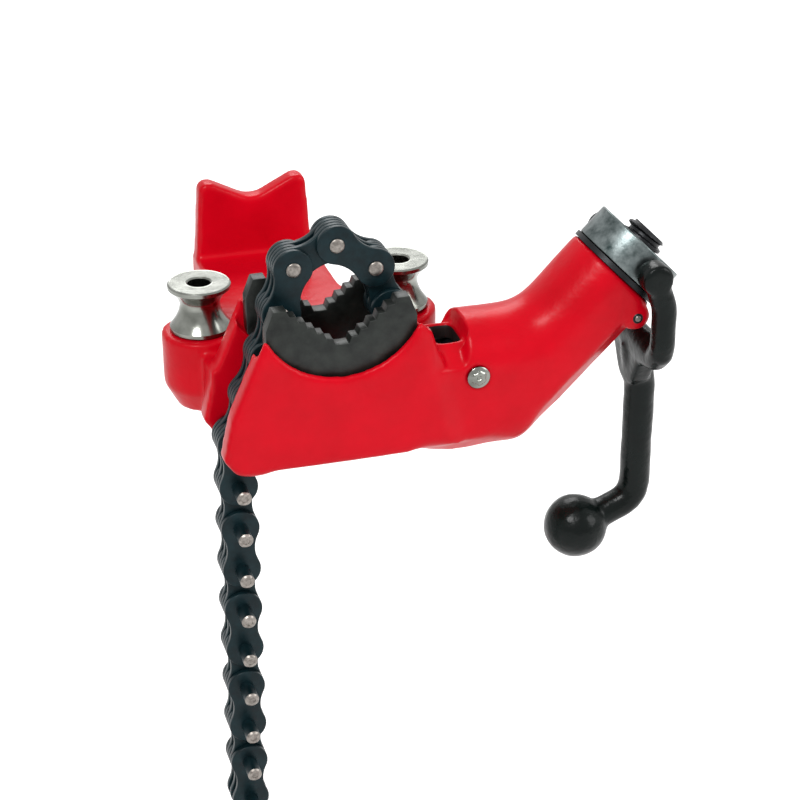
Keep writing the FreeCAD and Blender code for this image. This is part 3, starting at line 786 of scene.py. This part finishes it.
def rounded_plate(
    outline: Array, spine: Array, thick: float, edge: float, middle: Array, ahead: Array
) -> Array:
    """Shapes a flat plate with rolled edges: its outline is drawn in towards a line inside it.

    Args:
        outline: Rows of a distance ahead of the middle and one across.
        spine: The point of the inner line that each outline point is drawn in to.
        thick: The plate's thickness, across the vise.
        edge: The radius of its edges.
        middle: The plate's middle.
        ahead: A unit vector along the plate.

    Returns:
        A grid from the line on one face round the edge to the line on the other.
    """
    out = outline - spine
    reach = np.linalg.norm(out, axis=1, keepdims=True)
    turn = np.linspace(0, math.pi / 2, 4)
    inset = edge * (1 - np.sin(turn))
    level = thick / 2 - edge * (1 - np.cos(turn))
    shares = [np.zeros_like(reach)] + [1 - value / reach for value in inset]
    levels = np.concatenate([[thick / 2], level])
    levels = np.concatenate([levels, -levels[::-1]])
    square = np.array([-ahead[2], 0.0, ahead[0]])
    flat = np.stack([spine + out * share for share in shares + shares[::-1]])
    lift = levels[:, None, None] * ACROSS
    return middle + flat[..., :1] * ahead + flat[..., 1:] * square + lift


@dataclass
class ChainRoute:
    """Where the chain's pins lie: round the held stock, into the arm and down the horns.

    Each pin is one pitch on from the last, at a heading in degrees.
    """

    pitch: float = 25.4
    plate_half: float = 10.5
    stock_radius: float = 14.6
    stock_height: float = 88.4
    top_angle: float = 84.3
    horn_headings: tuple[float, ...] = (254.7, 253.6, 249.0, 248.0)
    throat_headings: tuple[float, ...] = (-71.0, -75.0, -58.0, -30.0)
    tail_links: int = 9
    nut_centre: Point = (167.5, 0.0, 86.3)

    def _step(self, start: Array, heading: float) -> Array:
        """Steps one pitch on from a pin."""
        turn = math.radians(heading)
        return start + self.pitch * np.array([math.cos(turn), 0.0, math.sin(turn)])

    def held(self) -> list[Array]:
        """Lists the pins that stay as they lie, from under the roller to the horns.

        Returns:
            Points in millimetres.
        """
        reach = self.stock_radius + self.plate_half
        step = 2 * math.degrees(math.asin(self.pitch / 2 / reach))
        pins = []
        for count in (-1, 0, 1):
            turn = math.radians(self.top_angle + count * step)
            away = reach * np.array([math.cos(turn), 0.0, math.sin(turn)])
            pins.append(self.stock_height * UP + away)
        for heading in self.horn_headings:
            pins.append(self._step(pins[-1], heading))
        for heading in self.throat_headings:
            pins.insert(0, self._step(pins[0], heading))
        return pins

    def tail(self) -> list[Array]:
        """Lists the pins of the hanging end, from the hooked one down."""
        hook = self.held()[-1]
        return [hook - self.pitch * n * UP for n in range(self.tail_links + 1)]

    def anchor(self) -> list[Array]:
        """Lists the two pins on the screw's axis, a pitch on from the roller.

        Returns:
            Two points in millimetres.
        """
        bend = self.held()[0]
        nut = np.array(self.nut_centre)
        out = bend - nut
        level = float(out @ UP_ARM)
        offset = np.linalg.norm(out - level * UP_ARM)
        first = nut + UP_ARM * (level + math.sqrt(self.pitch**2 - offset**2))
        return [first, first + UP_ARM * self.pitch]


@dataclass
class LeafChain:
    """The leaf chain: waisted plates with rolled edges on riveted or hooking pins."""

    route: ChainRoute = field(default_factory=ChainRoute)
    waist_half: float = 7.6
    plate_thick: float = 3.2
    plate_gap: float = 0.2
    edge_round: float = 0.55
    pin_radius: float = 4.0
    rivet_half: float = 10.05
    rivet_dome: float = 1.1
    hook_half: float = 21.5
    hook_chamfer: float = 0.8
    dish_shares: tuple[float, float] = (0.55, 0.6)
    dish_deep: float = 0.35

    def _outline(self) -> Array:
        """Draws the plate's edge: two arcs round the pins joined by two hollow arcs.

        Returns:
            Rows of a distance along the link from its middle and one across it.
        """
        half_pitch = self.route.pitch / 2
        lobe = self.route.plate_half
        hollow = (half_pitch**2 + self.waist_half**2 - lobe**2) / (2 * (lobe - self.waist_half))
        height = hollow + self.waist_half
        open_half = math.atan2(half_pitch, height)
        sweep = np.linspace(-1, 1, 24, endpoint=False) * (math.pi / 2 + open_half)
        bow = np.linspace(1, -1, 16, endpoint=False) * open_half
        lobe_arc = np.stack([half_pitch + lobe * np.cos(sweep), lobe * np.sin(sweep)], axis=1)
        bow_arc = np.stack([hollow * np.sin(bow), height - hollow * np.cos(bow)], axis=1)
        return np.concatenate([lobe_arc, bow_arc, -lobe_arc, -bow_arc])

    def _plate(self, start: Array, end: Array, middle_y: float) -> Array:
        """Shapes one plate: its outline is drawn in towards the line between both pins.

        Args:
            start: The first pin.
            end: The second pin.
            middle_y: The plate's place in the stack.

        Returns:
            A grid from the line on one face round the edge to the line on the other.
        """
        outline = self._outline()
        reach = self.route.pitch / 2
        spine = np.stack([np.clip(outline[:, 0], -reach, reach), np.zeros(len(outline))], axis=1)
        middle = (start + end) / 2 + middle_y * ACROSS
        ahead = (end - start) / self.route.pitch
        return rounded_plate(outline, spine, self.plate_thick, self.edge_round, middle, ahead)

    def _pin(self, centre: Array, style: Fastened) -> Array:
        """Turns one pin, domed where it is riveted and chamfered where it hooks.

        Args:
            centre: The pin's middle.
            style: How its ends are finished.

        Returns:
            A grid of rings along the pin.
        """
        turn = np.linspace(0, math.pi / 2, 6)
        if style is Fastened.RIVETED:
            radius = self.pin_radius * np.sin(turn)
            level = self.rivet_half - self.rivet_dome * (1 - np.cos(turn))
        else:
            edge = self.pin_radius - self.hook_chamfer
            dish = [edge * share for share in self.dish_shares]
            radius = np.array([0.0, *dish, edge, self.pin_radius])
            low = np.array([self.dish_deep, self.dish_deep, 0.0, 0.0, self.hook_chamfer])
            level = self.hook_half - low
        return turned(mirrored(np.stack([radius, level], axis=1)), centre, ACROSS, 28)

    def _link(
        self, name: str, body: str, pins: tuple[Array, Array], style: Fastened
    ) -> Object:
        """Builds one link: three plates where it holds the pins, or two between those.

        Args:
            name: The CAD node that it stands for.
            body: The body that it rides on.
            pins: The first pin and the second.
            style: How its pins are finished.

        Returns:
            The object.
        """
        solid = Solid(name + "_forged", [OILED_STEEL, RUBBED_STEEL])
        holds_pins = style is not Fastened.NONE
        for layer in (-2, 0, 2) if holds_pins else (-1, 1):
            solid.add_grid(self._plate(*pins, layer * (self.plate_thick + self.plate_gap)))
        if holds_pins:
            for centre in pins:
                pin = self._pin(centre, style)
                ends = [1] * (len(pin) // 2 - 1)
                solid.add_grid(pin, ends + [0] + ends)
        return solid.build(body, name)

    def build(self) -> list[Object]:
        """Builds every link on the body that carries it.

        Returns:
            The links.
        """
        held, tail, anchor = self.route.held(), self.route.tail(), self.route.anchor()
        made = []
        for count, pins in enumerate(zip(held, held[1:])):
            style = Fastened.NONE if count % 2 else Fastened.RIVETED
            made.append(self._link(f"held_link_{count + 1:02d}", "frame", pins, style))
        for count, pins in enumerate(zip(tail, tail[1:])):
            style = Fastened.NONE if count % 2 else Fastened.HOOKING
            name = f"tail_link_{count + 1:02d}"
            made.append(self._link(name, name, pins, style))
        made.append(self._link("anchor_link_outer", "screw", tuple(anchor), Fastened.RIVETED))
        joining = (anchor[0], held[0])
        made.append(self._link("anchor_link_inner", "frame", joining, Fastened.NONE))
        return made


@dataclass
class BendingSpool:
    """A turned spool: two rims with a hollow between them and a stepped bore."""

    side: int
    name: str
    boss_x: float = 56.0
    boss_y: float = 62.0
    base: float = 44.2
    height: float = 27.3
    top_radius: float = 17.2
    foot_radius: float = 16.8
    waist_radius: float = 11.0
    waist_share: float = 0.56
    flare: float = 1.8
    rim: float = 2.6
    edge: float = 0.7
    bore: float = 6.3
    bolt_bore: float = 4.06
    shoulder: float = 8.0
    rings: int = 6
    ring_depth: float = 0.12

    def build(self) -> Object:
        """Turns the spool: its radius rises from the waist with a power of the distance.

        Returns:
            The object.
        """
        top = self.height
        waist = self.waist_share * top
        share = np.linspace(0, 1, 20)
        low = self.rim + (waist - self.rim) * share
        foot_flare = self.foot_radius - self.waist_radius
        low_radius = self.waist_radius + foot_flare * (1 - share) ** self.flare
        high = waist + (top - self.rim - waist) * share
        top_flare = self.top_radius - self.waist_radius
        high_radius = self.waist_radius + top_flare * share**self.flare
        e = self.edge
        radii = np.linspace(self.top_radius - e, self.bore + e, 2 * self.rings + 1)
        cut = self.ring_depth * (np.arange(len(radii)) % 2)
        face = np.stack([radii, top - cut], axis=1).tolist()
        start = [(self.bolt_bore, 0.0), (self.foot_radius - e, 0.0), (self.foot_radius, e)]
        end = [(self.top_radius, top - e), *face, (self.bore, top - e)]
        end += [(self.bore, self.shoulder), (self.bolt_bore, self.shoulder), (self.bolt_bore, 0.0)]
        lower = np.stack([low_radius, low], axis=1)
        upper = np.stack([high_radius, high], axis=1)
        profile = np.concatenate([start, lower, upper, end])
        solid = Solid(self.name + "_turned", [TURNED_ZINC])
        centre = np.array([self.side * self.boss_x, self.boss_y, self.base])
        solid.add_grid(turned(profile, centre, UP, 128))
        return solid.build(self.name, self.name)


@dataclass
class ScrewAndNut:
    """The draw screw's thread and the plated nut that turns on it."""

    centre: Point = (167.5, 0.0, 86.3)
    nut_radius: float = 27.2
    nut_thick: float = 18.3
    nut_edge: float = 0.9
    bore_gap: float = 0.06
    bore_flare: float = 1.2
    bore_lead: float = 2.0
    screw_radius: float = 12.0
    screw_proud: float = 7.0
    thread_pitch: float = 5.0
    thread_depth: float = 2.4
    thread_length: float = 46.0
    thread_crest: float = 2.0
    thread_flank: float = 6.0
    thread_runout: float = 2.5
    point_share: float = 0.6
    neck: float = 14.0
    tongue_half: float = 8.4
    tongue_reach: float = 16.0
    tongue_edge: float = 0.4

    def nut(self) -> Object:
        """Turns the nut, with its rims broken and a chamfer round the bore.

        Returns:
            The object.
        """
        half, edge = self.nut_thick / 2, self.nut_edge
        outer, bore = self.nut_radius, self.screw_radius + self.bore_gap
        flare, lead = self.bore_flare, self.bore_lead
        turn = np.linspace(0, math.pi / 2, 5)
        round_in = outer - edge * (1 - np.cos(turn))
        upper = half - edge * (1 - np.sin(turn))
        rim = np.stack([round_in, upper], axis=1)
        start = [(bore, lead - half), (bore + flare, -half)]
        end = [(bore + flare, half), (bore, half - flare), (bore, lead - half)]
        profile = np.concatenate([start, rim[::-1] * [1, -1], rim, end])
        solid = Solid("nut_turned", [PLATED_ZINC])
        solid.add_grid(turned(profile, np.array(self.centre), UP_ARM, 144))
        return solid.build("nut", "nut")

    def _thread(self, neck: float) -> Array:
        """Shapes the shank: its radius follows a trapezium wave that climbs one pitch each turn.

        Args:
            neck: How far below the nut's middle the shank starts.

        Returns:
            A grid from the neck to the top.
        """
        top = self.nut_thick / 2 + self.screw_proud
        rows, sides = 330, 72
        height = np.linspace(-neck, top, rows)
        turn = np.linspace(0, 2 * math.pi, sides, endpoint=False)
        phase = (height[:, None] / self.thread_pitch - turn[None, :] / (2 * math.pi)) % 1
        wave = np.clip(self.thread_crest - self.thread_flank * np.abs(phase - 0.5), 0, 1)
        start = np.clip((top - height) / self.thread_runout, 0, 1)
        end = np.clip((height - top + self.thread_length) / self.thread_runout, 0, 1)
        low = self.screw_radius - self.thread_depth
        radius = low + self.thread_depth * wave * (start * end)[:, None]
        pole = np.zeros((1, sides))
        point = np.full((1, sides), low * self.point_share)
        radius = np.concatenate([pole, radius, point, pole])
        height = np.concatenate([[-neck], height, [top, top]])
        square = np.cross(UP_ARM, ACROSS)
        ring = np.cos(turn)[:, None] * ACROSS + np.sin(turn)[:, None] * square
        axis = np.array(self.centre) + height[:, None, None] * UP_ARM
        return axis + radius[..., None] * ring

    def _tongue(self, anchor: Array, layer: int) -> Array:
        """Shapes one of the flat tongues that take the chain's last pin.

        Args:
            anchor: The pin's middle.
            layer: The plate layer that the tongue lies in.

        Returns:
            A grid.
        """
        half = self.tongue_reach / 2
        turn = np.linspace(0, 2 * math.pi, 48, endpoint=False)
        outline = self.tongue_half * np.stack([np.cos(turn), np.sin(turn)], axis=1)
        spine = np.stack([np.where(np.cos(turn) > 0, half, -half), np.zeros(48)], axis=1)
        thick = LeafChain.plate_thick
        step = thick + LeafChain.plate_gap
        middle = anchor + half * UP_ARM + layer * step * ACROSS
        return rounded_plate(outline + spine, spine, thick, self.tongue_edge, middle, UP_ARM)

    def screw(self) -> Object:
        """Makes the screw from its threaded shank and its two tongues.

        Returns:
            The object.
        """
        anchor = ChainRoute().anchor()[1]
        neck = float((np.array(self.centre) - anchor) @ UP_ARM) - self.neck
        solid = Solid("draw_screw_threaded", [OXIDE_STEEL])
        solid.add_grid(self._thread(neck))
        for layer in (-1, 1):
            solid.add_grid(self._tongue(anchor, layer))
        return solid.build("screw", "draw_screw")

    def build(self) -> list[Object]:
        """Makes both pieces."""
        return [self.nut(), self.screw()]


@dataclass
class GuideRivet:
    """The plated rivet that carries the guide roller, with a low domed head at each end.

    The head is a profile: radius and distance from the vise's middle.
    """

    place: Point = (74.0, 0.0, 37.0)
    button: float = 4.1
    lobes: int = 6
    lobe_share: float = 0.07
    head: tuple[tuple[float, float], ...] = (
        (0.0, 27.45), (1.05, 27.45), (1.5, 27.95), (1.9, 28.05), (3.4, 27.95), (4.0, 27.4),
        (4.3, 27.25), (5.8, 27.05), (6.2, 26.65), (6.2, 26.05), (5.0, 26.05),
    )

    def build(self) -> Object:
        """Turns the rivet: each head is a thin flange with a pressed, lobed button on it.

        Returns:
            The object.
        """
        profile = mirrored(np.array(self.head))
        solid = Solid("guide_rivet", [TURNED_ZINC])
        middle = np.array(self.place)
        grid = turned(profile, middle, ACROSS, 48)
        turn = np.linspace(0, 2 * math.pi, 48, endpoint=False)
        swell = self.lobe_share * np.cos(self.lobes * turn)[:, None]
        pressed = (profile[:, 0] < self.button)[:, None, None]
        away = (grid - middle) * np.array([1.0, 0.0, 1.0])
        solid.add_grid(grid + np.where(pressed, away * swell, 0.0))
        return solid.build("frame", "guide_pin")


@dataclass
class Studio:
    """Pale surroundings, soft lamps and the photograph's camera."""

    camera_mm: Point = (-256.5, -971.0, 526.6)
    target_mm: Point = (38.6, 0.0, 16.2)
    focal_px: float = 2113.0
    frame_px: float = 800.0
    floor_mm: float = -262.0
    floor_half_m: float = 8.0
    floor_glow: float = 0.5
    world_level: float = 0.38
    lamp_target_m: Point = (0.04, 0.04, 0.0)

    def camera(self) -> None:
        """Stands the camera where the photograph was taken from."""
        data = bpy.data.cameras.new("camera")
        data.sensor_width = 36.0
        data.lens = self.focal_px / self.frame_px * data.sensor_width
        data.clip_start = 0.01
        data.clip_end = 50.0
        thing = linked("camera", data)
        thing.location = Vector(self.camera_mm) * MM
        look = Vector(self.target_mm) * MM - thing.location
        thing.rotation_mode = "QUATERNION"
        thing.rotation_quaternion = look.to_track_quat("-Z", "Y")
        bpy.context.scene.camera = thing

    def lamp(
        self, name: str, place_m: Point, size_m: float, watts: float
    ) -> None:
        """Hangs one soft lamp that faces the object.

        Args:
            name: The lamp's name.
            place_m: Where it hangs.
            size_m: The side of its square face.
            watts: Its power.
        """
        data = bpy.data.lights.new(name, "AREA")
        data.size = size_m
        data.energy = watts
        thing = linked(name, data)
        thing.location = place_m
        look = Vector(self.lamp_target_m) - thing.location
        thing.rotation_euler = look.to_track_quat("-Z", "Y").to_euler()

    def _shown(self, tree: NodeTree, low: float, high: float, strength: NodeSocket) -> None:
        """Lifts a strength on the rays that show it: straight, mirrored or through glass.

        Args:
            tree: The node tree of a material or of the world.
            low: The strength on all other rays.
            high: The strength on those that show it.
            strength: The socket that takes it.
        """
        rays = add_node(tree, "LightPath", {}, {}).outputs
        total = rays["Is Camera Ray"]
        for kind in ("Is Glossy Ray", "Is Transmission Ray"):
            both = add_node(tree, "Math", {".operation": "MAXIMUM"}, {})
            tree.links.new(total, both.inputs[0])
            tree.links.new(rays[kind], both.inputs[1])
            total = both.outputs["Value"]
        ends = {"To Min": low, "To Max": high}
        level = add_node(tree, "MapRange", ends, {"Value": total})
        tree.links.new(level.outputs["Result"], strength)

    def surroundings(self) -> None:
        """Lays the pale floor and sets the world's light."""
        side = self.floor_half_m
        mesh = bpy.data.meshes.new("floor")
        corners = [(-side, -side), (side, -side), (side, side), (-side, side)]
        mesh.from_pydata([(x, y, self.floor_mm * MM) for x, y in corners], [], [(0, 1, 2, 3)])
        linked("floor", mesh)
        material = bpy.data.materials.new("pale_floor")
        material.use_nodes = True
        shader = material.node_tree.nodes["Principled BSDF"]
        shader.inputs["Base Color"].default_value = linear_colour("#F4F4F4")
        shader.inputs["Roughness"].default_value = 0.9
        shader.inputs["Emission Color"].default_value = linear_colour("#FFFFFF")
        self._shown(material.node_tree, 0.0, self.floor_glow, shader.inputs["Emission Strength"])
        mesh.materials.append(material)
        world = bpy.data.worlds.new("studio")
        world.use_nodes = True
        bpy.context.scene.world = world
        glow = world.node_tree.nodes["Background"].inputs
        glow["Color"].default_value = linear_colour("#FFFFFF")
        self._shown(world.node_tree, self.world_level, 1.0, glow["Strength"])

    def build(self) -> None:
        """Sets the whole studio."""
        self.camera()
        self.lamp("key", (-0.7, -1.0, 1.5), 0.6, 26.0)
        self.lamp("fill", (1.3, -0.8, 0.7), 0.8, 10.0)
        self.lamp("back", (0.3, 1.4, 1.2), 0.9, 14.0)
        self.surroundings()
        bpy.context.scene.view_settings.view_transform = "Standard"


def dress_plain_nodes() -> None:
    """Gives black oxide to the small CAD pieces that stay as they are."""
    bolts = ("jaw_screws", "left_spool_bolt", "right_spool_bolt")
    for name in ("guide_bush", "guide_roller", "thrust_washer", *bolts):
        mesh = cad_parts[name].data
        mesh.materials.clear()
        mesh.materials.append(MATERIALS[OXIDE_STEEL.name])


def main() -> None:
    """Builds the vise's looks and the studio, in order."""
    logging.basicConfig(level=logging.INFO)
    dress_plain_nodes()
    casting = ViseBody(
        "base_casting", "frame", RED_ENAMEL,
        cell_mm=1.5, passes=6, wave_mm=22.0, wave_depth_mm=0.6, growth_mm=-0.06,
    )
    handle = CrankHandle(
        "handle", "handle", BLACK_ENAMEL,
        cell_mm=1.0, passes=14, wave_mm=14.0, wave_depth_mm=0.7, growth_mm=0.5,
    )
    pieces = [
        casting.build(),
        casting.retaining_pin(),
        handle.build(),
        MachinedPiece("jaw_front", "frame", JAW_STEEL).build(),
        MachinedPiece("jaw_rear", "frame", JAW_STEEL).build(),
        BendingSpool(-1, "left_spool").build(),
        BendingSpool(1, "right_spool").build(),
    ]
    pieces += ScrewAndNut().build()
    pieces.append(GuideRivet().build())
    pieces += LeafChain().build()
    for piece in pieces:
        log.info("%s: %d faces", piece.name, len(piece.data.polygons))
    Studio().build()


if __name__ == "__main__":
    main()
